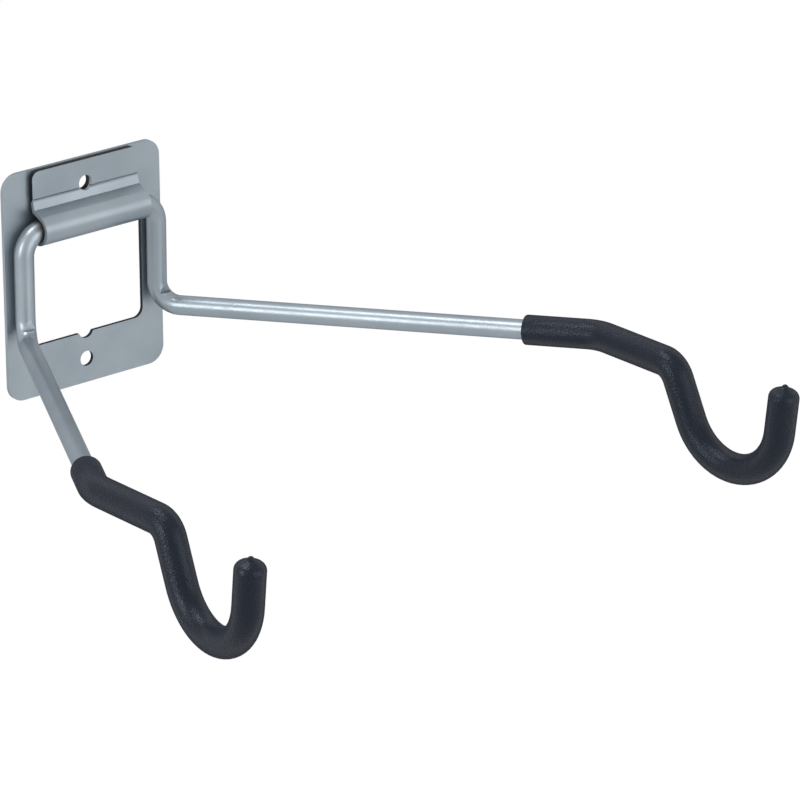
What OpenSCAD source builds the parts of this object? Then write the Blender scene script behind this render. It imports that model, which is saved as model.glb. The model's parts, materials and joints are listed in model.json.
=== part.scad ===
// Folding wall bike holder: a stamped wall plate with a rolled hinge strap, and one bent steel rod
// that turns in the strap and ends in two sleeved hooks.
// The origin is on the wall, midway between the two screw holes. X runs along the hinge, Z is up,
// and the arms reach into the room along -Y. Millimetres.

/* [Wall plate] */
// Width of the plate
plate_w = 96; // [90:1:110]
// Height of the plate
plate_h = 118; // [112:1:140]
// Thickness of the sheet steel of the plate and the strap
sheet_t = 2; // [1.6:0.1:2.4]
// Radius of the plate's corners
plate_corner_r = 9; // [4:0.5:12]
// Distance from each screw hole's centre to the plate's nearest edge, above or below it
hole_margin = 12.5; // [11:0.5:14]
// Diameter of the screw holes
hole_d = 7.8; // [5:0.1:9]

/* [Window] */
// Width of the window
window_w = 71; // [64:1:74]
// Height of the plate's strip under the window
lower_strip_h = 26.4; // [22:0.2:30]
// Radius of the window's lower corners
window_corner_r = 5; // [2:0.5:8]
// Radius of the notch in the window's lower edge
notch_r = 4.5; // [3:0.5:6]
// Depth of the notch
notch_depth = 3; // [1:0.5:3]

/* [Hinge strap] */
// Width of the slot on each side of the strap
slot_w = 3.3; // [2:0.1:5]
// Distance from the plate's upper edge down to the hinge axis
pivot_drop = 29.2; // [27:0.2:33]
// Inner diameter of the rolled knuckle
knuckle_bore = 12; // [11.4:0.1:13]
// Slope of the strap from the knuckle up to the tab
run_angle = 23; // [18:1:28]
// Lean of the strap between its two creases
lean_angle = 13; // [8:1:18]
// Height of the upper crease above the hinge axis
crease_h = 14.2; // [13:0.2:17]
// Gap between the tab and the plate
tab_gap = 0.9; // [0.5:0.1:1.4]
// Distance from the tab's upper edge to the plate's upper edge
tab_margin = 0.4; // [0.1:0.1:3]
// Radius of the tab's upper corners
tab_corner_r = 4; // [1:0.5:8]

/* [Rod] */
// Diameter of the steel rod
rod_d = 10; // [9:0.1:10.4]
// Distance from the strap's end to the middle of the leg beside it
leg_offset = 8.5; // [8:0.1:9]
// Height from the hinge axis down to the lower bend
leg_drop = 55.6; // [50:0.2:60]
// Gap between the leg's lower end and the plate, where it rests
rest_gap = 0.3; // [0.2:0.05:0.5]
// Distance between the two hooks' shoulders
hook_spacing = 306; // [260:1:340]
// Distance from the wall to the shoulder bends
arm_reach = 212.5; // [160:0.5:260]
// Height of the shoulders above the lower bends
arm_rise = 13.5; // [0:0.5:30]
// Length of the shoulder, from its bend to the drop bend
shoulder_l = 53.5; // [48:0.5:70]
// Bend radius at the ends of the hinge, at the rod's middle line
hinge_bend_r = 12; // [10:0.5:12.5]
// Bend radius between the leg and the arm
leg_bend_r = 11.5; // [9:0.5:14]
// Height of the flat that the press leaves inside that bend
press_mark_h = 5; // [3:0.5:6]
// Turn of that flat from the arm's direction towards the other leg
press_mark_angle = 22; // [0:1:30]
// Bend radius between the arm and the shoulder
shoulder_bend_r = 24; // [16:0.5:30]
// Bend radius between the shoulder and the shank
drop_bend_r = 11.2; // [9:0.2:13]
// Bend radius of the hook that carries the bicycle's frame
hook_bend_r = 29; // [25:0.5:34]

/* [Hooks] */
// Length of the shank, from the drop bend's corner to the hook's curve
shank_l = 28; // [24:0.5:50]
// Lean of the shank from upright, outwards
shank_angle = 24; // [15:1:35]
// Lean of the tip from upright, outwards
tip_angle = 7; // [0:1:15]
// Length of the tip above the hook's curve, with its cap
tip_l = 24.7; // [20:0.5:45]
// Turn of the hook's plane from square to the wall
hook_yaw = 6; // [0:1:10]

/* [Sleeves] */
// Wall of the vinyl sleeve
sleeve_wall = 2.4; // [1.5:0.1:3.5]
// Slip between the sleeve and the rod
sleeve_slip = 0.05; // [0.02:0.01:0.1]
// Length of sleeve on the arm, before the shoulder bend's corner
sleeve_lead = 35.5; // [26:0.5:60]
// Size of the bevel round the sleeve's open end
sleeve_bevel = 0.8; // [0.2:0.1:1.4]
// Radius of the closed end's rounded edge
cap_edge_r = 4; // [2:0.1:5]
// Slope of the closed end from that edge up to its middle
cap_slope = 28; // [5:1:35]
// Diameter of the pinched nub in the middle of the closed end
nub_d = 3.6; // [2:0.1:4.6]
// Height of that nub above the closed end
nub_h = 0.5; // [0.3:0.1:2]

/* [Hidden] */
overrun = sheet_t;
rod_r = rod_d / 2;
strap_w = window_w - 2 * slot_w;
window_z0 = lower_strip_h - plate_h / 2;
hole_z = plate_h / 2 - hole_margin;
pivot_z = plate_h / 2 - pivot_drop;
knuckle_r = knuckle_bore / 2;
knuckle_outer_r = knuckle_r + sheet_t;
// The knuckle is rolled from the plate's own sheet, so its back lies in the plate's back plane
pivot_y = -knuckle_outer_r;
tab_mid_y = -(sheet_t + tab_gap + sheet_t / 2);
tab_top_z = plate_h / 2 - tab_margin;
leg_x = strap_w / 2 + leg_offset;
rest_y = -(sheet_t + rest_gap + rod_r);
// Between the press mark's flat and the leg's side, in line with it
press_gap = 0.08;
sleeve_bore_r = rod_r + sleeve_slip;
sleeve_r = sleeve_bore_r + sleeve_wall;
nub_top_share = 0.5;
tip_wall_share = 3;
slot_end_r = slot_w / 2;
// A bend is drawn a little thinner than the straight runs, and laps into them
bend_draw = 0.02;
bend_lap = 0.3;
steel = "#98a2ab";
vinyl = "#2c3036";
$fn = 64;

function unit(v) = v / norm(v);

// The rod's corner points on the right-hand side, from the middle of the hinge to the drop bend.
// The leg leans back a little, so that its lower end rests on the plate.
shoulder_z = pivot_z - leg_drop + arm_rise;
corners = [
    [0, pivot_y, pivot_z],
    [leg_x, pivot_y, pivot_z],
    [leg_x, rest_y, pivot_z - leg_drop],
    [hook_spacing / 2, -arm_reach, shoulder_z],
    [hook_spacing / 2, -arm_reach - shoulder_l, shoulder_z]
];
bend_radii = [0, hinge_bend_r, leg_bend_r, shoulder_bend_r, drop_bend_r];

// The hook lies in one upright plane: outwards along hook_out, and up
hook_out = [sin(hook_yaw), -cos(hook_yaw), 0];
up = [0, 0, 1];
shank_dir = hook_out * sin(shank_angle) - up * cos(shank_angle);
shank_side = hook_out * cos(shank_angle) + up * sin(shank_angle);
tip_dir = hook_out * sin(tip_angle) + up * cos(tip_angle);
hook_start = corners[4] + shank_dir * shank_l;
hook_turn = 180 - shank_angle - tip_angle;
hook_centre = hook_start + shank_side * hook_bend_r;
rod_tip_l = tip_l - sleeve_wall * tip_wall_share;
hook_end = hook_centre - shank_side * hook_bend_r * cos(hook_turn)
    + shank_dir * hook_bend_r * sin(hook_turn);

// The point on the arm where the sleeve's open end is
arm_dir = unit(corners[3] - corners[2]);
sleeve_start = corners[3] - arm_dir * sleeve_lead;

// Turn of a bend, and how far before its corner it starts
function turn(d_in, d_out) = acos(d_in * d_out);
function lead(d_in, d_out, r) = r * tan(turn(d_in, d_out) / 2);

// Puts a shape drawn along +Z at a point, along a direction
module along(at, dir) {
    translate(at) rotate([0, acos(dir[2]), atan2(dir[1], dir[0])]) children();
}

// Round bar from one point to another
module straight(from, to, r) {
    along(from, unit(to - from)) cylinder(r = r, h = norm(to - from));
}

// Round bar bent by an angle: it starts at a point, heads along dir and turns towards side
module bend(at, dir, side, bend_r, angle, r) {
    axis = cross(dir, side);
    centre = at + side * bend_r;
    lap_angle = bend_lap / bend_r * 180 / PI;
    multmatrix([
        [-side[0], dir[0], axis[0], centre[0]],
        [-side[1], dir[1], axis[1], centre[1]],
        [-side[2], dir[2], axis[2], centre[2]],
        [0, 0, 0, 1]
    ]) rotate([0, 0, -lap_angle]) rotate_extrude(angle = angle + 2 * lap_angle)
        translate([bend_r, 0]) circle(r = r - bend_draw);
}

// Bend at a corner between two headings
module corner_bend(corner, d_in, d_out, bend_r, r) {
    side = unit(d_out - d_in * (d_in * d_out));
    bend(corner - d_in * lead(d_in, d_out, bend_r), d_in, side, bend_r, turn(d_in, d_out), r);
}

// The bar from the bend at one corner on, through every later run and bend, to the hook's end
module bent_bar(first, r) {
    path = concat([for (i = [first - 1 : len(corners) - 1]) corners[i]], [hook_start]);
    radii = concat([for (i = [first - 1 : len(corners) - 1]) bend_radii[i]], [0]);
    dirs = [for (i = [0 : len(path) - 2]) unit(path[i + 1] - path[i])];
    leads = [for (i = [0 : len(path) - 1])
        radii[i] == 0 || i == 0 ? 0 : lead(dirs[i - 1], dirs[i], radii[i])];
    for (i = [1 : len(path) - 2]) {
        corner_bend(path[i], dirs[i - 1], dirs[i], radii[i], r);
        straight(path[i] + dirs[i] * leads[i], path[i + 1] - dirs[i] * leads[i + 1], r);
    }
    bend(hook_start, shank_dir, shank_side, hook_bend_r, hook_turn, r);
}

module plate_blank() {
    inset_x = plate_w / 2 - plate_corner_r;
    inset_z = plate_h / 2 - plate_corner_r;
    rotate([90, 0, 0]) {
        translate([-plate_w / 2, -inset_z, 0]) cube([plate_w, 2 * inset_z, sheet_t]);
        translate([-inset_x, -plate_h / 2, 0]) cube([2 * inset_x, plate_h, sheet_t]);
        for (x = [-inset_x, inset_x], z = [-inset_z, inset_z])
            translate([x, z, 0]) cylinder(r = plate_corner_r, h = sheet_t);
    }
}

// A hole through the whole sheet, its round axis along Y
module hole(x, z, r, y0, depth) {
    translate([x, y0 + overrun, z]) rotate([90, 0, 0]) cylinder(r = r, h = depth + 2 * overrun);
}

// The window: round lower corners, slot ends round at the top, and the half-round notch
module window_cut() {
    low_x = window_w / 2 - window_corner_r;
    low_z = window_z0 + window_corner_r;
    end_x = window_w / 2 - slot_end_r;
    depth = sheet_t + 2 * overrun;
    translate([0, overrun, 0]) rotate([90, 0, 0]) {
        translate([-window_w / 2, low_z, 0]) cube([window_w, pivot_z - low_z, depth]);
        translate([-low_x, window_z0, 0]) cube([2 * low_x, window_corner_r + overrun, depth]);
    }
    for (x = [-low_x, low_x]) hole(x, low_z, window_corner_r, 0, sheet_t);
    for (x = [-end_x, end_x]) hole(x, pivot_z, slot_end_r, 0, sheet_t);
    hole(0, window_z0 + notch_r - notch_depth, notch_r, 0, sheet_t);
}

module wall_plate() {
    color(steel) difference() {
        plate_blank();
        window_cut();
        for (z = [-hole_z, hole_z]) hole(0, z, hole_d / 2, 0, sheet_t);
    }
}

// Where two lines in a plane meet, each given by a point and a direction
function meet(p, d, q, e) = p + d * (cross(q - p, e) / cross(d, e));

// The strap's side view: x is the distance in front of the hinge axis, y the height above it
curl_end = 90 - run_angle;
mid_r = knuckle_r + sheet_t / 2;
tab_mid = pivot_y - tab_mid_y;
run_dir = [-cos(run_angle), sin(run_angle)];
lean_dir = [-sin(lean_angle), cos(lean_angle)];
run_start = mid_r * [cos(curl_end), sin(curl_end)];
upper_crease = [tab_mid, crease_h];
lower_crease = meet(run_start, run_dir, upper_crease, lean_dir);
strap_line = [
    run_start - run_dir * bend_lap, lower_crease, upper_crease, [tab_mid, tab_top_z - pivot_z]
];

// One edge of a sheet of even thickness whose middle follows a line, with sharp creases
function sheet_edge(line, offset) = [for (i = [0 : len(line) - 1])
    let (a = unit(line[max(i, 1)] - line[max(i, 1) - 1]),
        b = unit(line[min(i + 1, len(line) - 1)] - line[min(i, len(line) - 2)]),
        mitre = unit([-a[1] - b[1], a[0] + b[0]]),
        reach = offset / (mitre * [-a[1], a[0]]))
    line[i] + mitre * reach];

function reversed(list) = [for (i = [len(list) - 1 : -1 : 0]) list[i]];

// The strap's side view stands upright across the plate and is drawn along X
module across(width) {
    translate([-width / 2, pivot_y, pivot_z]) rotate([90, 0, 90]) mirror([1, 0, 0])
        linear_extrude(width) children();
}

// The part of the strap that is rolled round the rod: it leaves the plate downwards and comes round
// the front as far as the straight run. Like the rod's bends, it is drawn a little thinner.
module knuckle() {
    wedge_r = 2 * knuckle_outer_r;
    difference() {
        translate([-strap_w / 2, pivot_y, pivot_z]) rotate([0, 90, 0])
            cylinder(r = knuckle_outer_r - bend_draw, h = strap_w);
        translate([-strap_w / 2 - overrun, pivot_y, pivot_z]) rotate([0, 90, 0])
            cylinder(r = knuckle_r + bend_draw, h = strap_w + 2 * overrun);
        across(strap_w + 2 * overrun) polygon([
            [0, 0], wedge_r * [cos(curl_end), sin(curl_end)], wedge_r * [-1, 1], [-wedge_r, 0]
        ]);
    }
}

module hinge_strap() {
    front = sheet_edge(strap_line, -sheet_t / 2);
    back = sheet_edge(strap_line, sheet_t / 2);
    corner_x = strap_w / 2 - tab_corner_r;
    corner_z = tab_top_z - tab_corner_r;
    color(steel) difference() {
        union() {
            across(strap_w) polygon(concat(front, reversed(back)));
            knuckle();
        }
        hole(0, hole_z, hole_d / 2, -sheet_t, 2 * sheet_t + tab_gap);
        for (side = [-1, 1]) difference() {
            translate([side > 0 ? corner_x : -strap_w / 2 - overrun, -2 * knuckle_outer_r, corner_z])
                cube([tab_corner_r + overrun, 2 * knuckle_outer_r, tab_corner_r + overrun]);
            hole(side * corner_x, corner_z, tab_corner_r, 0, 2 * knuckle_outer_r);
        }
    }
}

// What the press takes away inside the bend between the leg and the arm, which leaves a flat in line
// with the leg and a ledge under it
module press_mark() {
    leg_up = unit(corners[1] - corners[2]);
    bend_side = unit(arm_dir - leg_up * (arm_dir * leg_up));
    u = bend_side * cos(press_mark_angle) + cross(bend_side, leg_up) * sin(press_mark_angle);
    v = cross(leg_up, u);
    at = corners[2] + leg_up * (lead(-leg_up, arm_dir, leg_bend_r) - press_mark_h);
    multmatrix([
        [u[0], v[0], leg_up[0], at[0]],
        [u[1], v[1], leg_up[1], at[1]],
        [u[2], v[2], leg_up[2], at[2]],
        [0, 0, 0, 1]
    ]) translate([rod_r + press_gap, -rod_r, 0]) cube([rod_r, rod_d, press_mark_h + overrun]);
}

// The rod's straight hinge pin, and its two bent halves. The ends stop at the sleeves' closed ends.
module arm_rod() {
    pin_half = leg_x - hinge_bend_r;
    color(steel) {
        straight([-pin_half, pivot_y, pivot_z], [pin_half, pivot_y, pivot_z], rod_r);
        for (side = [0, 1]) mirror([side, 0, 0]) {
            difference() {
                bent_bar(1, rod_r);
                press_mark();
            }
            straight(hook_end, hook_end + tip_dir * rod_tip_l, rod_r);
        }
    }
}

// Side view of the sleeve's last straight run, about +Z: the closed end has a rounded edge, slopes up
// to its middle and is pinched to a nub there
module sleeve_end_profile() {
    edge_middle = sleeve_r - cap_edge_r;
    slope_r = edge_middle + cap_edge_r * sin(cap_slope);
    slope_h = slope_r * tan(cap_slope);
    edge_z = tip_l - slope_h - cap_edge_r * cos(cap_slope);
    nub_r = nub_d / 2;
    polygon([
        [0, 0], [sleeve_r, 0], [sleeve_r, edge_z], [edge_middle, edge_z],
        [slope_r, tip_l - slope_h], [0, tip_l]
    ]);
    translate([edge_middle, edge_z]) intersection() {
        circle(r = cap_edge_r);
        polygon([[0, 0], [sleeve_r, 0], [sleeve_r, sleeve_r / tan(cap_slope)]]);
    }
    polygon([
        [0, tip_l - nub_r], [nub_r, tip_l - nub_r * tan(cap_slope)],
        [nub_r * nub_top_share, tip_l + nub_h], [0, tip_l + nub_h]
    ]);
}

// Side view of the sleeve's first straight run, with a bevelled end
module sleeve_start_profile(run) {
    polygon([
        [0, 0], [sleeve_r - sleeve_bevel, 0], [sleeve_r, sleeve_bevel], [sleeve_r, run], [0, run]
    ]);
}

module grip() {
    shoulder_lead = lead(arm_dir, unit(corners[4] - corners[3]), shoulder_bend_r);
    bend_start = corners[3] - arm_dir * shoulder_lead;
    difference() {
        union() {
            along(sleeve_start, arm_dir) rotate_extrude()
                sleeve_start_profile(sleeve_lead - shoulder_lead);
            bent_bar(3, sleeve_r);
            along(hook_end, tip_dir) rotate_extrude() sleeve_end_profile();
        }
        straight(sleeve_start - arm_dir * overrun, bend_start, sleeve_bore_r);
        bent_bar(3, sleeve_bore_r);
        straight(hook_end, hook_end + tip_dir * (rod_tip_l + sleeve_slip), sleeve_bore_r);
    }
}

module right_grip() { color(vinyl) grip(); }

module left_grip() { color(vinyl) mirror([1, 0, 0]) grip(); }

wall_plate();
hinge_strap();
arm_rod();
left_grip();
right_grip();
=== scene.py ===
"""Folding wall bike holder: plate, hinge strap, bent rod and sleeves, with their finishes."""

import json
import math

import bpy
from bpy.props import FloatProperty, FloatVectorProperty, IntProperty, PointerProperty
from mathutils import Matrix, Vector


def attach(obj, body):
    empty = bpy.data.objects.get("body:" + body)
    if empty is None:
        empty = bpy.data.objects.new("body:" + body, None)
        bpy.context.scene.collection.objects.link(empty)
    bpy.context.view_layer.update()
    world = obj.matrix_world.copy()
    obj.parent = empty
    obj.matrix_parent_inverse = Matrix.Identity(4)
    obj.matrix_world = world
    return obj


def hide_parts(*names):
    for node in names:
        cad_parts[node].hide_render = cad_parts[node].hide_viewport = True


bl_info = {
    "name": "Folding wall bike holder",
    "version": (1, 0, 0),
    "blender": (4, 5, 0),
    "location": "3D View > Sidebar > Bike holder",
    "description": "Builds a folding wall holder for a bicycle, its finishes and its studio",
    "category": "Object",
}

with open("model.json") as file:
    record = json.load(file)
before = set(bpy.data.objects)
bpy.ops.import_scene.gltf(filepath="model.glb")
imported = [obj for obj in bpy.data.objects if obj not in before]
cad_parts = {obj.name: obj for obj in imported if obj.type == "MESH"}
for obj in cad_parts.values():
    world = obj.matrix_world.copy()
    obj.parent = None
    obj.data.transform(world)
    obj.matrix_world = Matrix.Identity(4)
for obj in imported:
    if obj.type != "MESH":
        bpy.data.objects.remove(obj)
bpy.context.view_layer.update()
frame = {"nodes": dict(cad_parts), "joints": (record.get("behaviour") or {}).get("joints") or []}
PIVOT = Vector(next(joint for joint in frame["joints"] if joint["name"] == "arm_fold")["pos_m"])

MM = 0.001
UP = Vector((0, 0, 1))
INTO_ROOM = Vector((0, -1, 0))
MERGE = 0.002 * MM  # Points nearer than this are one point
HAIR = 0.01 * MM  # Slack in comparing the places of points and faces
ONE_FLAT = math.radians(1)  # Faces that turn less than this are one flat
BEND_STEP = math.radians(5)  # Turn from one ring of a bend to the next
SHARP_EDGE = math.radians(40)  # The sheet's edges are rounded from this turn on
SMOOTH_BELOW = math.radians(50)  # Smaller turns are shaded smooth on the sheet and the sleeves
ROD_SMOOTH_BELOW = math.radians(9)  # The same on the rod, so that its press marks stay crisp
WALL_LEAN = 0.35  # A wall across the sheet leans no more than this towards the room
SHADED_WALL = "shaded_wall"  # The attribute that marks such walls, which get painted shade


def node_box(node):
    """Lowest and highest corner of a solid."""
    points = [point.co for point in frame["nodes"][node].data.vertices]
    return [[pick(point[i] for point in points) for i in range(3)] for pick in (min, max)]


PLATE_LOW, PLATE_HIGH = node_box("wall_plate")
STRAP_HIGH = node_box("hinge_strap")[1]
STRAP_END = STRAP_HIGH[0]


def length(name, description, default_mm):
    """A size that shows in the panel, in metres."""
    return FloatProperty(
        name=name, description=description, default=default_mm * MM, precision=4, unit="LENGTH"
    )


def angle(name, description, degrees):
    """A turn that shows in the panel."""
    return FloatProperty(
        name=name, description=description, default=math.radians(degrees), subtype="ANGLE"
    )


def colour(name, description, rgb):
    """A colour that shows in the panel."""
    return FloatVectorProperty(
        name=name, description=description, default=rgb, size=3, min=0, max=1, subtype="COLOR"
    )


class BikeHolderSizes(bpy.types.PropertyGroup):
    """Sizes of the pieces, mostly the solids' own.

    The leads, tip cover, mouth, sheet edge, rim, slots and groove are this script's own.
    """

    rod_d: length("Rod", "Diameter of the steel rod", 10)
    leg_x: length("Leg", "Distance from the middle of the hinge to each leg", 40.7)
    leg_drop: length("Leg drop", "Height from the hinge down to the lower bend", 55.6)
    leg_rest: length("Leg rest", "Distance from the wall to the middle of the leg's lower end", 7.3)
    shoulder_x: length("Shoulder", "Distance from the middle to each shoulder", 153)
    arm_reach: length("Reach", "Distance from the wall to the shoulder bends", 212.5)
    arm_rise: length("Rise", "Height of the shoulders above the lower bends", 13.5)
    shoulder_l: length("Shoulder length", "From the shoulder bend to the drop bend", 53.5)
    hinge_bend_r: length("Hinge bend", "Radius of the bends beside the hinge", 12)
    leg_bend_r: length("Leg bend", "Radius of the lower bends", 11.5)
    shoulder_bend_r: length("Shoulder bend", "Radius of the shoulder bends", 24)
    drop_bend_r: length("Drop bend", "Radius of the bends above the shanks", 11.2)
    hook_bend_r: length("Hook", "Radius of the hooks at the rod's middle line", 29)
    shank_l: length("Shank", "Length from the drop bend to the hook's curve", 28)
    shank_angle: angle("Shank lean", "Lean of the shank from upright", 24)
    tip_angle: angle("Tip lean", "Lean of the tip from upright", 7)
    tip_l: length("Tip", "Length of the tip above the hook's curve", 24.7)
    tip_cover: length("Tip cover", "Vinyl from the top of the tip down to the rod's end", 8)
    hook_yaw: angle("Hook turn", "Turn of the hook's plane", 6)
    press_mark_h: length("Press mark", "Height of the flat inside the lower bends", 5)
    press_mark_angle: angle("Press mark turn", "Turn of that flat towards the other leg", 22)
    press_gap: length("Press gap", "From that flat to the leg's side", 0.08)
    sleeve_r: length("Sleeve", "Outer radius of the vinyl sleeve", 7.45)
    sleeve_gap: length("Sleeve gap", "Room between the rod and the sleeve", 0.05)
    right_lead: length("Right lead", "Length of the right sleeve before the shoulder's corner", 38)
    left_lead: length("Left lead", "Length of the left sleeve before the shoulder's corner", 27)
    mouth_l: length("Mouth", "Depth of the sleeve's bore, closed where the rod hides it", 8)
    sleeve_bevel: length("Sleeve bevel", "Rounding of the sleeve's open end", 0.8)
    cap_edge_r: length("Cap edge", "Radius of the closed end's rounded edge", 4)
    cap_slope: angle("Cap slope", "Slope of the closed end from that edge up to its middle", 28)
    nub_d: length("Nub", "Diameter of the pinched nub in the middle of the closed end", 3.6)
    nub_h: length("Nub height", "Height of that nub above the closed end", 0.5)
    sheet_edge_r: length("Sheet edge", "Rounding of the sheet steel's edges", 0.35)
    rim_w: length("Rim", "Width of the plate's and the tab's rim, with no hole in it", 2)
    slot_end: length("Slot end", "Reach of the slots' round ends above and below the hinge", 2)
    slot_drop: length("Slot drop", "How far those ends come down behind the rod's bends", 4.4)
    crease_h: length("Crease", "Height of the strap's upper crease above the hinge", 14.2)
    crease_w: length("Crease width", "Width of the groove that the press leaves there", 1.6)
    crease_depth: length("Crease depth", "Depth of that groove", 0.7)
    ring_points: IntProperty(
        name="Ring points", description="Points round the rod", default=56, min=12
    )


class BikeHolderColours(bpy.types.PropertyGroup):
    """Colours of the finishes."""

    steel: colour("Steel paint", "Silver-grey powder coat", (0.375, 0.425, 0.465))
    steel_shade: colour("Steel paint, darker", "Where the coat is thicker", (0.325, 0.375, 0.415))
    worn: colour("Worn paint", "Where the strap has rubbed the rod", (0.16, 0.12, 0.095))
    # Painted shade: dark paint on the sheet's marked walls and on the rod beside the strap's ends,
    # where shadow falls
    cut: colour("Painted shade", "Dark paint for the shade on marked walls and beside the strap's ends", (0.03, 0.032, 0.038))
    vinyl: colour("Vinyl", "Black vinyl of the sleeves", (0.0025, 0.0048, 0.012))
    vinyl_dust: colour("Vinyl, paler", "Bottoms of the dimples in its grain", (0.0065, 0.0102, 0.0205))


def sizes():
    """The sizes that the panel shows."""
    return bpy.context.scene.bike_holder_sizes


def colours():
    """The colours that the panel shows."""
    return bpy.context.scene.bike_holder_colours


# The rod's route ------------------------------------------------------------------------------


def rod_corners():
    """Corner points of the rod's right half, from the middle of the hinge to the drop bend."""
    s = sizes()
    low_z = PIVOT.z - s.leg_drop
    shoulder = Vector((s.shoulder_x, -s.arm_reach, low_z + s.arm_rise))
    return [
        PIVOT,
        PIVOT + Vector((s.leg_x, 0, 0)),
        Vector((s.leg_x, -s.leg_rest, low_z)),
        shoulder,
        shoulder + INTO_ROOM * s.shoulder_l,
    ]


def rod_route(first, start=None):
    """Runs and bends from a corner on, the end of the hook's curve, and the tip's direction.

    A step is ("run", vector) or ("bend", centre, axis, turn).
    """
    s = sizes()
    corners = rod_corners()
    radii = [0, s.hinge_bend_r, s.leg_bend_r, s.shoulder_bend_r, s.drop_bend_r]
    out = Vector((math.sin(s.hook_yaw), -math.cos(s.hook_yaw), 0))
    shank = out * math.sin(s.shank_angle) - UP * math.cos(s.shank_angle)
    side = out * math.cos(s.shank_angle) + UP * math.sin(s.shank_angle)
    tip = out * math.sin(s.tip_angle) + UP * math.cos(s.tip_angle)
    hook_start = corners[-1] + shank * s.shank_l
    points = corners[first - 1 :] + [hook_start]
    radii = radii[first - 1 :]
    at = points[0] if start is None else start
    route = []
    for before, corner, after, radius in zip(points, points[1:], points[2:], radii[1:]):
        d_in, d_out = (corner - before).normalized(), (after - corner).normalized()
        turn = d_in.angle(d_out)
        lead = radius * math.tan(turn / 2)
        bend_side = (d_out - d_in * d_in.dot(d_out)).normalized()
        bend_start = corner - d_in * lead
        route.append(("run", bend_start - at))
        route.append(("bend", bend_start + bend_side * radius, d_in.cross(bend_side), turn))
        at = corner + d_out * lead
    turn = math.pi - s.shank_angle - s.tip_angle
    hook_middle = hook_start + side * s.hook_bend_r
    hook_axis = shank.cross(side)
    route.append(("run", hook_start - at))
    route.append(("bend", hook_middle, hook_axis, turn))
    hook_end = hook_middle + Matrix.Rotation(turn, 3, hook_axis) @ (-side * s.hook_bend_r)
    return route, hook_end, tip


# Modelling steps ------------------------------------------------------------------------------


def start_ring(name, centre, direction, radius):
    """A circle across a direction, in edit mode and all selected."""
    bpy.ops.object.select_all(action="DESELECT")
    turn = direction.to_track_quat("Z", "Y").to_euler()
    bpy.ops.mesh.primitive_circle_add(
        vertices=sizes().ring_points,
        radius=radius,
        fill_type="NOTHING",
        location=centre,
        rotation=turn,
    )
    piece = bpy.context.object
    piece.name = piece.data.name = name
    bpy.ops.object.transform_apply(location=True, rotation=True, scale=True)
    bpy.ops.object.mode_set(mode="EDIT")
    bpy.ops.mesh.select_all(action="SELECT")
    return piece


def run(vector):
    """Draws the selected ring out into a straight length."""
    bpy.ops.mesh.extrude_region_move(TRANSFORM_OT_translate={"value": tuple(vector)})


def bend(centre, axis, turn):
    """Turns the selected ring round an axis into a bend."""
    steps = max(2, math.ceil(turn / BEND_STEP))
    bpy.ops.mesh.spin(steps=steps, angle=-turn, center=tuple(centre), axis=tuple(axis))


def follow(route):
    """Draws the selected ring along the runs and bends of a route."""
    for kind, *values in route:
        if kind == "run":
            run(*values)
        else:
            bend(*values)


def grow_ring(centre, radius, new_radius):
    """Gives the selected ring another radius."""
    share = new_radius / radius
    bpy.ops.transform.resize(value=(share, share, share), center_override=tuple(centre))


def close_ring():
    """Closes the selected ring by a face."""
    bpy.ops.mesh.edge_face_add()


def select_points(piece, chosen):
    """Selects the points that pass a test, and no others."""
    bpy.ops.mesh.select_all(action="DESELECT")
    bpy.ops.object.mode_set(mode="OBJECT")
    for point in piece.data.vertices:
        point.select = chosen(point.co)
    bpy.ops.object.mode_set(mode="EDIT")


def select_ring(piece, centre, reach):
    """Selects the ring round a point, which lies within reach of it."""
    select_points(piece, lambda place: (place - centre).length < reach)


def apply_modifier(piece, name, kind, **settings):
    """Adds a modifier in object mode and applies it."""
    modifier = piece.modifiers.new(name, kind)
    for key, value in settings.items():
        setattr(modifier, key, value)
    bpy.ops.object.modifier_apply(modifier=modifier.name)


def solid_copy(node, name):
    """A copy of a solid's mesh, merged and with its flats whole again, in edit mode."""
    bpy.ops.object.select_all(action="DESELECT")
    piece = bpy.data.objects.new(name, frame["nodes"][node].data.copy())
    piece.data.name = name
    bpy.context.scene.collection.objects.link(piece)
    piece.select_set(True)
    bpy.context.view_layer.objects.active = piece
    bpy.ops.object.mode_set(mode="EDIT")
    bpy.ops.mesh.select_all(action="SELECT")
    bpy.ops.mesh.remove_doubles(threshold=MERGE)
    bpy.ops.mesh.dissolve_limited(angle_limit=ONE_FLAT)
    return piece


def round_sheet_edges(piece):
    """Rounds every sharp edge of a piece of sheet steel."""
    bpy.ops.object.mode_set(mode="OBJECT")
    apply_modifier(
        piece,
        "Rounded edges",
        "BEVEL",
        width=sizes().sheet_edge_r,
        segments=3,
        limit_method="ANGLE",
        angle_limit=SHARP_EDGE,
    )
    bpy.ops.object.mode_set(mode="EDIT")


def mark_shaded_walls(piece, chosen):
    """Marks the punched walls across the sheet where a place passes a test, so that they get painted
    shade.
    """
    bpy.ops.object.mode_set(mode="OBJECT")
    marks = piece.data.attributes.new(SHADED_WALL, "FLOAT", "FACE")
    for face in piece.data.polygons:
        marked = abs(face.normal.y) < WALL_LEAN and chosen(face.center)
        marks.data[face.index].value = float(marked)
    bpy.ops.object.mode_set(mode="EDIT")


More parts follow.
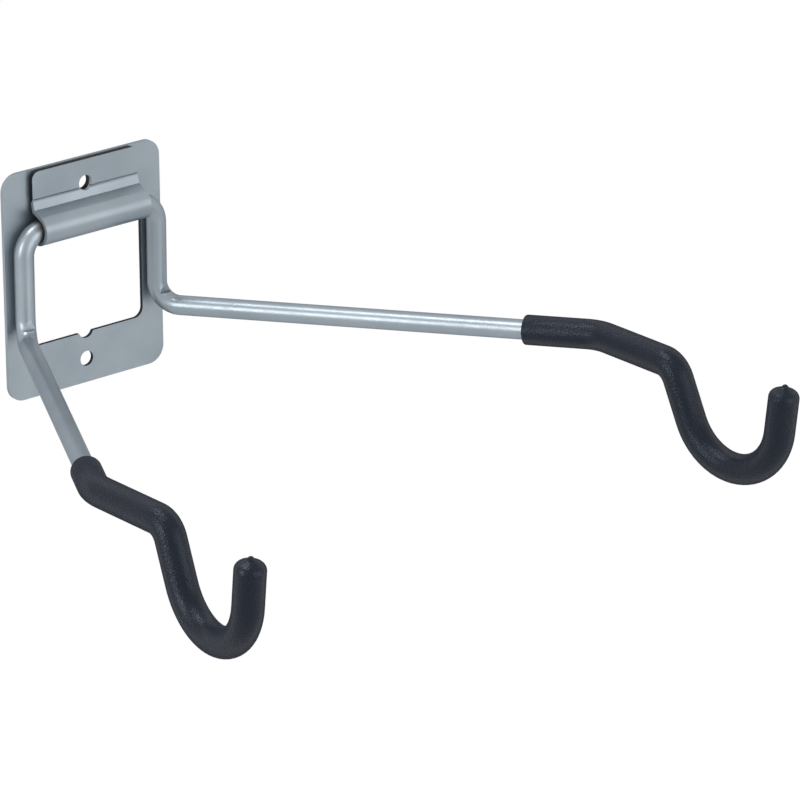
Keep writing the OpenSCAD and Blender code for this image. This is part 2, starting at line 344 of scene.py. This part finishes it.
def finish_piece(piece, body, material, replaced, smooth_below, flats=False):
    """Leaves edit mode, smooths the piece, gives it its finish and body, and hides the solid it
    replaces.
    """
    bpy.ops.mesh.select_all(action="SELECT")
    bpy.ops.mesh.remove_doubles(threshold=MERGE)
    bpy.ops.mesh.normals_make_consistent(inside=False)
    bpy.ops.object.mode_set(mode="OBJECT")
    bpy.ops.object.shade_smooth_by_angle(angle=smooth_below)
    if flats:
        # The flat faces keep their normals, and only the rounded edges between them turn
        apply_modifier(piece, "Even flats", "WEIGHTED_NORMAL", keep_sharp=True, weight=100)
    piece.data.materials.clear()
    piece.data.materials.append(material)
    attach(piece, body)
    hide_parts(replaced)


# Finishes -------------------------------------------------------------------------------------


class Finish:
    """A material whose nodes are added one by one."""

    def __init__(self, name):
        self.material = bpy.data.materials.new(name)
        self.material.use_nodes = True
        self.tree = self.material.node_tree
        self.tree.nodes.clear()
        self.shader = self.add("ShaderNodeBsdfPrincipled")
        out = self.add("ShaderNodeOutputMaterial")
        self.link(self.shader.outputs[0], out.inputs["Surface"])
        self.place = self.add("ShaderNodeTexCoord").outputs["Object"]

    def add(self, kind, **values):
        """A new node with its settings."""
        node = self.tree.nodes.new(kind)
        for key, value in values.items():
            setattr(node, key, value)
        return node

    def link(self, source, target):
        """Joins an output to an input."""
        self.tree.links.new(source, target)

    def give(self, socket, value):
        """Links or sets an input."""
        if isinstance(value, bpy.types.NodeSocket):
            self.link(value, socket)
        else:
            socket.default_value = value

    def set(self, name, value):
        """Links or sets an input of the shader."""
        self.give(self.shader.inputs[name], value)

    def math(self, operation, *values, clamp=False):
        """The result of a sum with one or two values."""
        node = self.add("ShaderNodeMath", operation=operation, use_clamp=clamp)
        for socket, value in zip(node.inputs, values):
            self.give(socket, value)
        return node.outputs[0]

    def noise(self, grain, detail, roughness=0.5):
        """Noise with grains of about this size."""
        node = self.add("ShaderNodeTexNoise")
        node.inputs["Scale"].default_value = 1 / grain
        node.inputs["Detail"].default_value = detail
        node.inputs["Roughness"].default_value = roughness
        self.link(self.place, node.inputs["Vector"])
        return node.outputs["Fac"]

    def dimples(self, grain):
        """Distance to the middle of the nearest of many dimples of about this size."""
        node = self.add("ShaderNodeTexVoronoi")
        node.inputs["Scale"].default_value = 1 / grain
        self.link(self.place, node.inputs["Vector"])
        return node.outputs["Distance"]

    def remap(self, value, span, to_span):
        """A value carried over from one span to another, and held at its ends."""
        node = self.add("ShaderNodeMapRange")
        for key, number in zip(("From Min", "From Max", "To Min", "To Max"), (*span, *to_span)):
            node.inputs[key].default_value = number
        self.link(value, node.inputs["Value"])
        return node.outputs["Result"]

    def mix(self, share, first, second):
        """Mix of two colours, each one a socket or three numbers."""
        node = self.add("ShaderNodeMix", data_type="RGBA")
        self.link(share, node.inputs["Factor"])
        for key, value in zip(("A", "B"), (first, second)):
            socket = next(s for s in node.inputs if s.name == key and s.type == "RGBA")
            self.give(socket, value if isinstance(value, bpy.types.NodeSocket) else (*value, 1))
        return next(s for s in node.outputs if s.type == "RGBA")

    def bump(self, height, distance, strength=1.0, under=None):
        """The normal of a relief, on top of another if one is given."""
        node = self.add("ShaderNodeBump")
        node.inputs["Distance"].default_value = distance
        node.inputs["Strength"].default_value = strength
        self.link(height, node.inputs["Height"])
        if under is not None:
            self.link(under, node.inputs["Normal"])
        return node.outputs["Normal"]


# Spans of a noise's values that hold most of it
NOISE_CORE = (0.35, 0.65)
NOISE_SPAN = (0.3, 0.7)

# The powder coat: grains of its clouds, its gloss and its orange peel, and the peel's height
CLOUD_GRAIN, GLOSS_GRAIN, PEEL_GRAIN = 30 * MM, 6 * MM, 4 * MM
PEEL_HEIGHT, PEEL_STRENGTH = 0.03 * MM, 0.5
PAINT_METALLIC, PAINT_LEVEL, PAINT_TINT = 0.6, 0.15, (0.25, 0.27, 0.3, 1)
PAINT_ROUGHNESS = (0.31, 0.38)

# The rubbed spot on the rod: its ragged edge and its reach, and the reach of the painted shade beside
# the strap's ends
RUB_GRAIN, RUB_RAGGED, RUB_REACH, RUB_SHARE = 1.2 * MM, 1.2 * MM, (0.5 * MM, 4 * MM), 0.7
STRAP_SHADE_REACH, STRAP_SHADE_SHARE = (0.6 * MM, 2.8 * MM), 0.7

# The vinyl: its dimples, the reach of their pale bottoms, and the fine grain on them
VINYL_GRAIN, VINYL_HEIGHT, PALE_REACH = 0.9 * MM, 0.13 * MM, (0.25, 0.7)
FINE_GRAIN, FINE_HEIGHT, FINE_RAGGED = 0.6 * MM, 0.07 * MM, 0.6
VINYL_LEVEL, VINYL_TINT = 0.3, (0.78, 0.86, 1, 1)
VINYL_ROUGHNESS = (0.24, 0.42)
# Where it is seen aslant, the grain hides its gloss
ASLANT, ASLANT_ROUGHNESS = (0.4, 0.75), (0, 0.5)


def worn_and_shaded_tone(f, tone, worn_at):
    """Colour of the rod, worn at a place, and with painted shade beside both ends of the strap."""
    c = colours()
    far = f.add("ShaderNodeVectorMath", operation="DISTANCE")
    f.link(f.place, far.inputs[0])
    far.inputs[1].default_value = worn_at
    ragged = f.remap(f.noise(RUB_GRAIN, detail=4), NOISE_SPAN, (-RUB_RAGGED, RUB_RAGGED))
    edge = f.math("ADD", far.outputs["Value"], ragged)
    tone = f.mix(f.remap(edge, RUB_REACH, (RUB_SHARE, 0)), tone, c.worn)
    # Painted shade: the rod is darkened beside both ends of the strap, where the strap shades it
    place = f.add("ShaderNodeSeparateXYZ")
    f.link(f.place, place.inputs[0])
    aside = f.math("ABSOLUTE", place.outputs["X"])
    beside_strap = [STRAP_END + reach for reach in STRAP_SHADE_REACH]
    return f.mix(f.remap(aside, beside_strap, (STRAP_SHADE_SHARE, 0)), tone, c.cut)


def steel_paint(name, worn_at=None):
    """Satin silver powder coat: cloudy colour, fine orange peel, and painted shade on the marked
    walls.
    """
    c = colours()
    f = Finish(name)
    cloud = f.remap(f.noise(CLOUD_GRAIN, detail=3), NOISE_CORE, (0, 1))
    tone = f.mix(cloud, c.steel, c.steel_shade)
    if worn_at is not None:
        tone = worn_and_shaded_tone(f, tone, worn_at)
    # The marked walls are painted dark as shade
    cut = f.add("ShaderNodeAttribute", attribute_name=SHADED_WALL)
    f.set("Base Color", f.mix(cut.outputs["Fac"], tone, c.cut))
    f.set("Metallic", PAINT_METALLIC)
    f.set("Specular IOR Level", PAINT_LEVEL)
    f.set("Specular Tint", PAINT_TINT)
    f.set("Roughness", f.remap(f.noise(GLOSS_GRAIN, detail=3), NOISE_SPAN, PAINT_ROUGHNESS))
    f.set("Normal", f.bump(f.noise(PEEL_GRAIN, detail=1), PEEL_HEIGHT, PEEL_STRENGTH))
    return f.material


def sleeve_vinyl(name):
    """Black vinyl with a dimpled grain that speckles its highlights."""
    c = colours()
    f = Finish(name)
    grain = f.dimples(VINYL_GRAIN)
    fine = f.noise(FINE_GRAIN, detail=2, roughness=FINE_RAGGED)
    f.set("Base Color", f.mix(f.remap(grain, PALE_REACH, (0, 1)), c.vinyl_dust, c.vinyl))
    facing = f.add("ShaderNodeLayerWeight").outputs["Facing"]
    rough = f.remap(fine, NOISE_CORE, VINYL_ROUGHNESS)
    aslant = f.remap(facing, ASLANT, ASLANT_ROUGHNESS)
    f.set("Roughness", f.math("ADD", rough, aslant, clamp=True))
    f.set("Specular IOR Level", VINYL_LEVEL)
    f.set("Specular Tint", VINYL_TINT)
    f.set("Normal", f.bump(grain, VINYL_HEIGHT, under=f.bump(fine, FINE_HEIGHT)))
    return f.material


def finish_for(name, make, **more):
    """The finish of this name, made if no piece has it yet."""
    return bpy.data.materials.get(name) or make(name, **more)


# The pieces -----------------------------------------------------------------------------------


class BIKEHOLDER_OT_wall_plate(bpy.types.Operator):
    """Stamped plate with its window, its notch and its screw holes"""

    bl_idname = "bikeholder.wall_plate"
    bl_label = "Wall plate"

    def within_rim(self, place):
        """Whether a place lies within the plate's rim: on the window, the notch or a hole."""
        s = sizes()
        low, high = PLATE_LOW[2] + s.rim_w, PLATE_HIGH[2] - s.rim_w
        return abs(place[0]) < s.leg_x and low < place[2] < high

    def shorten_slots(self, piece):
        """Brings the slots' round upper ends down behind the rod's bends."""
        s = sizes()
        select_points(
            piece,
            lambda place: STRAP_END + HAIR < abs(place.x) < s.leg_x
            and abs(place.z - PIVOT.z) < s.slot_end,
        )
        bpy.ops.transform.translate(value=(0, 0, -s.slot_drop))

    def execute(self, context):
        piece = solid_copy("wall_plate", "stamped_plate")
        self.shorten_slots(piece)
        round_sheet_edges(piece)
        # The walls of the window, the notch and the holes are marked for painted shade
        mark_shaded_walls(piece, self.within_rim)
        paint = finish_for("plate paint", steel_paint)
        finish_piece(piece, "plate", paint, "wall_plate", SMOOTH_BELOW, flats=True)
        return {"FINISHED"}


class BIKEHOLDER_OT_hinge_strap(bpy.types.Operator):
    """Strap that is rolled round the rod, with its two creases and its screwed tab"""

    bl_idname = "bikeholder.hinge_strap"
    bl_label = "Hinge strap"

    groove_core = 0.4  # Share of the groove's width within which its bottom lies
    front_depth = 0.5 * MM  # The groove's bottom is no deeper than this before it is pressed

    def on_tab_edge(self, place):
        """Whether a place lies above the crease on the tab, its screw hole left out."""
        s = sizes()
        by_hole = abs(place[0]) < s.rod_d and place[2] < STRAP_HIGH[2] - s.rim_w
        return place[2] > PIVOT.z + s.crease_h and not by_hole

    def press_crease(self, piece):
        """Presses a fine groove along the upper crease, on the side that faces the room."""
        s = sizes()
        height = PIVOT.z + s.crease_h
        for offset in (-s.crease_w / 2, s.crease_w / 2):
            bpy.ops.mesh.select_all(action="SELECT")
            bpy.ops.mesh.bisect(plane_co=(0, 0, height + offset), plane_no=UP)
        bpy.ops.object.mode_set(mode="OBJECT")
        places = [point.co for point in piece.data.vertices]
        front = min(place.y for place in places if abs(place.z - height) < s.crease_w)
        bpy.ops.object.mode_set(mode="EDIT")
        select_points(
            piece,
            lambda place: abs(place.z - height) < self.groove_core * s.crease_w
            and place.y < front + self.front_depth,
        )
        bpy.ops.transform.translate(value=(0, s.crease_depth, 0))

    def execute(self, context):
        piece = solid_copy("hinge_strap", "rolled_strap")
        self.press_crease(piece)
        round_sheet_edges(piece)
        # The tab's top and left walls are marked for painted shade, standing in for the shadow in the
        # gap behind the tab
        mark_shaded_walls(piece, self.on_tab_edge)
        paint = finish_for("plate paint", steel_paint)
        finish_piece(piece, "plate", paint, "hinge_strap", SMOOTH_BELOW, flats=True)
        return {"FINISHED"}


class BIKEHOLDER_OT_arm_rod(bpy.types.Operator):
    """Bent steel rod, with the marks of the bending press inside its lower bends"""

    bl_idname = "bikeholder.arm_rod"
    bl_label = "Bent rod"

    block_overrun = 2 * MM  # The block that cuts the press mark is taller than it by this
    worn_spot = Vector((-33.5, -4.6, 2.2)) * MM  # Place of the worn spot, from the hinge's middle

    def press_mark(self):
        """Middle of the mark's ledge, the leg's direction, and the way the mark faces."""
        s = sizes()
        hinge_end, low, shoulder = rod_corners()[1:4]
        leg_up = (hinge_end - low).normalized()
        arm = (shoulder - low).normalized()
        side = (arm - leg_up * arm.dot(leg_up)).normalized()
        aside = side.cross(leg_up)
        out = side * math.cos(s.press_mark_angle) + aside * math.sin(s.press_mark_angle)
        lead = s.leg_bend_r * math.tan((-leg_up).angle(arm) / 2)
        ledge = low + leg_up * (lead - s.press_mark_h)
        return ledge, leg_up, out

    def cut_press_mark(self, piece):
        """Cuts the nick out of the rod: a block of its shape is taken away."""
        s = sizes()
        ledge, leg_up, out = self.press_mark()
        bpy.ops.object.mode_set(mode="OBJECT")
        bpy.ops.object.select_all(action="DESELECT")
        size = Vector((s.rod_d / 2, s.rod_d, s.press_mark_h + self.block_overrun))
        bpy.ops.mesh.primitive_cube_add(size=1)
        block = bpy.context.object
        middle = ledge + out * (s.rod_d / 2 + s.press_gap + size.x / 2) + leg_up * size.z / 2
        turn = Matrix((out, leg_up.cross(out), leg_up)).transposed().to_4x4()
        block.matrix_world = Matrix.Translation(middle) @ turn @ Matrix.Diagonal((*size, 1))
        bpy.ops.object.transform_apply(location=True, rotation=True, scale=True)
        bpy.ops.object.select_all(action="DESELECT")
        bpy.context.view_layer.objects.active = piece
        piece.select_set(True)
        apply_modifier(
            piece, "Press mark", "BOOLEAN", operation="DIFFERENCE", solver="EXACT", object=block
        )
        bpy.data.objects.remove(block)

    def open_middle(self, piece):
        """Takes away the face that closes the half rod in the middle of the hinge."""
        bpy.ops.object.mode_set(mode="EDIT")
        bpy.ops.mesh.select_all(action="DESELECT")
        bpy.ops.mesh.select_mode(type="FACE")
        bpy.ops.object.mode_set(mode="OBJECT")
        for face in piece.data.polygons:
            face.select = abs(face.center.x) < HAIR
        bpy.ops.object.mode_set(mode="EDIT")
        bpy.ops.mesh.delete(type="FACE")
        bpy.ops.mesh.select_mode(type="VERT")
        bpy.ops.object.mode_set(mode="OBJECT")

    def execute(self, context):
        s = sizes()
        hinge_middle, hinge_end = rod_corners()[:2]
        route, _, tip = rod_route(1)
        piece = start_ring("bent_rod", hinge_middle, hinge_end - hinge_middle, s.rod_d / 2)
        follow(route)
        run(tip * (s.tip_l - s.tip_cover))
        close_ring()
        select_ring(piece, hinge_middle, s.rod_d)
        close_ring()
        bpy.ops.mesh.select_all(action="SELECT")
        bpy.ops.mesh.normals_make_consistent(inside=False)
        self.cut_press_mark(piece)
        self.open_middle(piece)
        apply_modifier(
            piece, "Other half", "MIRROR", use_axis=(True, False, False), merge_threshold=MERGE
        )
        bpy.ops.object.mode_set(mode="EDIT")
        paint = finish_for("rod paint", steel_paint, worn_at=hinge_middle + self.worn_spot)
        finish_piece(piece, "arms", paint, "arm_rod", ROD_SMOOTH_BELOW)
        return {"FINISHED"}


class BIKEHOLDER_OT_sleeves(bpy.types.Operator):
    """Black vinyl sleeves over the shoulders and hooks, closed by a pinched nub at the tip"""

    bl_idname = "bikeholder.sleeves"
    bl_label = "Sleeves"

    # Rings of the open end's lip, as shares of its rounding: how far along, and how far inwards
    lip_shares = ((0.0, 1.0), (0.3, 0.3), (1.0, 0.0))
    # Rings of the closed end: steps round its edge, and shares of the way down its slope
    edge_steps = 9
    slope_shares = (0.5, 1.0)
    # The slope ends on a ring this many times as wide as the nub
    slope_foot = 1.25
    # Rings of the nub, as shares of its height and of its foot's radius
    nub_shares = ((0.05, 1.0), (0.35, 0.86), (0.7, 0.66), (0.92, 0.42), (1.0, 0.16))

    def closed_end(self):
        """Height and radius of each ring of the closed end: rounded edge, slope and nub."""
        s = sizes()
        rise = math.tan(s.cap_slope)
        edge_middle = s.sleeve_r - s.cap_edge_r
        slope_r = edge_middle + s.cap_edge_r * math.sin(s.cap_slope)
        edge_z = s.tip_l - slope_r * rise - s.cap_edge_r * math.cos(s.cap_slope)
        rings = []
        for i in range(self.edge_steps + 1):
            a = (math.pi / 2 - s.cap_slope) * i / self.edge_steps
            up, out = s.cap_edge_r * math.sin(a), s.cap_edge_r * math.cos(a)
            rings.append((edge_z + up, edge_middle + out))
        nub_r = s.nub_d / 2
        for share in self.slope_shares:
            radius = slope_r + (nub_r * self.slope_foot - slope_r) * share
            rings.append((s.tip_l - radius * rise, radius))
        foot_z = s.tip_l - nub_r * rise
        for up, share in self.nub_shares:
            rings.append((foot_z + up * (s.tip_l + s.nub_h - foot_z), share * nub_r))
        return rings

    def sleeve(self, name, lead):
        """A sleeve for the right side: mouth, lip, outside along the rod, and closed end."""
        s = sizes()
        low, corner = rod_corners()[2:4]
        arm = (corner - low).normalized()
        at, radius = corner - arm * lead, s.rod_d / 2 + s.sleeve_gap
        inside = at + arm * s.mouth_l
        piece = start_ring(name, inside, arm, radius)
        run(at - inside)
        for along, inwards in self.lip_shares:
            new_at = corner - arm * (lead - along * s.sleeve_bevel)
            new_radius = s.sleeve_r - inwards * s.sleeve_bevel
            run(new_at - at)
            grow_ring(new_at, radius, new_radius)
            at, radius = new_at, new_radius
        route, hook_end, tip = rod_route(3, at)
        follow(route)
        height = 0.0
        for new_height, new_radius in self.closed_end():
            run(tip * (new_height - height))
            grow_ring(hook_end + tip * new_height, radius, new_radius)
            height, radius = new_height, new_radius
        close_ring()
        select_ring(piece, inside, s.rod_d / 2 + 2 * s.sleeve_gap)
        close_ring()
        return piece

    def execute(self, context):
        s = sizes()
        for name, node, lead, side in (
            ("right_sleeve", "right_grip", s.right_lead, 1),
            ("left_sleeve", "left_grip", s.left_lead, -1),
        ):
            piece = self.sleeve(name, lead)
            bpy.ops.mesh.select_all(action="SELECT")
            bpy.ops.transform.resize(value=(side, 1, 1), center_override=(0, 0, 0))
            vinyl = finish_for("sleeve vinyl", sleeve_vinyl)
            finish_piece(piece, "arms", vinyl, node, SMOOTH_BELOW)
        return {"FINISHED"}


# The studio -----------------------------------------------------------------------------------


def towards(azimuth, elevation):
    """The direction from the holder to a lamp or the camera; azimuth 0 is straight in front."""
    level = math.cos(elevation)
    return Vector((math.sin(azimuth) * level, -math.cos(azimuth) * level, math.sin(elevation)))


def shown_white(tree):
    """1 for what the camera, a gloss or a glass shows, and 0 for the light on the object."""
    path = tree.nodes.new("ShaderNodeLightPath")
    total = path.outputs["Is Camera Ray"]
    for name in ("Is Glossy Ray", "Is Transmission Ray"):
        either = tree.nodes.new("ShaderNodeMath")
        either.operation = "MAXIMUM"
        tree.links.new(total, either.inputs[0])
        tree.links.new(path.outputs[name], either.inputs[1])
        total = either.outputs[0]
    return total


class BIKEHOLDER_OT_studio(bpy.types.Operator):
    """Pale floor, soft lamps and the camera"""

    bl_idname = "bikeholder.studio"
    bl_label = "Studio"

    # The camera: direction and turn, distance, shift aside and up, lens, and how far it sees
    azimuth, elevation, roll = (math.radians(a) for a in (-39.792, 21.017, -0.4))
    distance, aside, above = 2.8, 0.15684, -0.06582
    lens, sight = 254.75, 20

    # The lamps: name, azimuth and elevation in degrees, width and height in metres, power in watts
    lamp_distance = 1.7
    lit_middle = Vector((0, -0.17, 0))
    lamps = (
        ("front softbox", 14, 8, (1.5, 1.5), 11),
        ("left softbox", -92, 14, (0.5, 1.0), 10),
        ("top softbox", -123, 70, (0.5, 0.5), 9),
    )

    room_colour, room_strength = (0.93, 0.96, 1, 1), 0.15
    white_colour, white_strength = (1, 1, 1, 1), 1.0

    # The floor's glow makes it white in the picture, and the rest of it keeps the shadow
    floor_size, floor_z, floor_colour = 16, -0.6, (0.86, 0.87, 0.88, 1)
    glow_strength, glow_share = 1.06, 0.93

    def camera(self):
        """Puts the camera where the photograph was taken from."""
        back = towards(self.azimuth, self.elevation)
        right = Vector((math.cos(self.azimuth), math.sin(self.azimuth), 0))
        up = back.cross(right)
        at = right * self.aside + up * self.above + back * self.distance
        tilted_right = right * math.cos(self.roll) + up * math.sin(self.roll)
        tilted_up = up * math.cos(self.roll) - right * math.sin(self.roll)
        data = bpy.data.cameras.new("Camera")
        data.lens = self.lens
        data.clip_end = self.sight
        camera = bpy.data.objects.new("Camera", data)
        turn = Matrix((tilted_right, tilted_up, back)).transposed().to_4x4()
        camera.matrix_world = Matrix.Translation(at) @ turn
        bpy.context.scene.collection.objects.link(camera)
        bpy.context.scene.camera = camera

    def lamp(self, name, azimuth, elevation, size, power):
        """A soft lamp that looks at the holder from a direction."""
        away = towards(math.radians(azimuth), math.radians(elevation))
        data = bpy.data.lights.new(name, "AREA")
        data.shape = "RECTANGLE"
        data.size, data.size_y = size
        data.energy = power
        lamp = bpy.data.objects.new(name, data)
        turn = away.to_track_quat("Z", "Y").to_matrix().to_4x4()
        lamp.matrix_world = Matrix.Translation(self.lit_middle + away * self.lamp_distance) @ turn
        bpy.context.scene.collection.objects.link(lamp)

    def world(self):
        """A plain room for the light, and plain white for the picture and for what gloss shows."""
        world = bpy.data.worlds.new("Studio")
        bpy.context.scene.world = world
        world.use_nodes = True
        tree = world.node_tree
        tree.nodes.clear()
        mix = tree.nodes.new("ShaderNodeMixShader")
        out = tree.nodes.new("ShaderNodeOutputWorld")
        tree.links.new(shown_white(tree), mix.inputs[0])
        for i, colour_of, strength in (
            (1, self.room_colour, self.room_strength),
            (2, self.white_colour, self.white_strength),
        ):
            light = tree.nodes.new("ShaderNodeBackground")
            light.inputs["Color"].default_value = colour_of
            light.inputs["Strength"].default_value = strength
            tree.links.new(light.outputs[0], mix.inputs[i])
        tree.links.new(mix.outputs[0], out.inputs[0])

    def floor(self):
        """A plain pale floor that keeps the holder's shadow."""
        bpy.ops.object.select_all(action="DESELECT")
        bpy.ops.mesh.primitive_plane_add(size=self.floor_size, location=(0, 0, self.floor_z))
        floor = bpy.context.object
        floor.name = "floor"
        material = bpy.data.materials.new("pale floor")
        material.use_nodes = True
        tree = material.node_tree
        tree.nodes.clear()
        paint = tree.nodes.new("ShaderNodeBsdfDiffuse")
        paint.inputs["Color"].default_value = self.floor_colour
        glow = tree.nodes.new("ShaderNodeEmission")
        glow.inputs["Strength"].default_value = self.glow_strength
        share = tree.nodes.new("ShaderNodeMath")
        share.operation = "MULTIPLY"
        share.inputs[1].default_value = self.glow_share
        mix = tree.nodes.new("ShaderNodeMixShader")
        out = tree.nodes.new("ShaderNodeOutputMaterial")
        tree.links.new(shown_white(tree), share.inputs[0])
        tree.links.new(share.outputs[0], mix.inputs[0])
        tree.links.new(paint.outputs[0], mix.inputs[1])
        tree.links.new(glow.outputs[0], mix.inputs[2])
        tree.links.new(mix.outputs[0], out.inputs[0])
        floor.data.materials.append(material)

    def execute(self, context):
        context.scene.view_settings.view_transform = "Standard"
        self.camera()
        self.world()
        self.floor()
        for lamp in self.lamps:
            self.lamp(*lamp)
        return {"FINISHED"}


class BIKEHOLDER_PT_pieces(bpy.types.Panel):
    """The pieces, in the order in which they are built, and their sizes and colours"""

    bl_idname = "BIKEHOLDER_PT_pieces"
    bl_label = "Folding wall bike holder"
    bl_space_type = "VIEW_3D"
    bl_region_type = "UI"
    bl_category = "Bike holder"

    def draw(self, context):
        for operator in OPERATORS:
            self.layout.operator(operator.bl_idname)
        for group in (sizes(), colours()):
            for name in group.__annotations__:
                self.layout.prop(group, name)


OPERATORS = (
    BIKEHOLDER_OT_studio,
    BIKEHOLDER_OT_wall_plate,
    BIKEHOLDER_OT_hinge_strap,
    BIKEHOLDER_OT_arm_rod,
    BIKEHOLDER_OT_sleeves,
)
CLASSES = (BikeHolderSizes, BikeHolderColours, *OPERATORS, BIKEHOLDER_PT_pieces)


def register():
    for cls in CLASSES:
        bpy.utils.register_class(cls)
    bpy.types.Scene.bike_holder_sizes = PointerProperty(type=BikeHolderSizes)
    bpy.types.Scene.bike_holder_colours = PointerProperty(type=BikeHolderColours)


def unregister():
    del bpy.types.Scene.bike_holder_colours
    del bpy.types.Scene.bike_holder_sizes
    for cls in reversed(CLASSES):
        bpy.utils.unregister_class(cls)


def main():
    register()
    bpy.ops.bikeholder.studio()
    bpy.ops.bikeholder.wall_plate()
    bpy.ops.bikeholder.hinge_strap()
    bpy.ops.bikeholder.arm_rod()
    bpy.ops.bikeholder.sleeves()


if __name__ == "__main__":
    main()
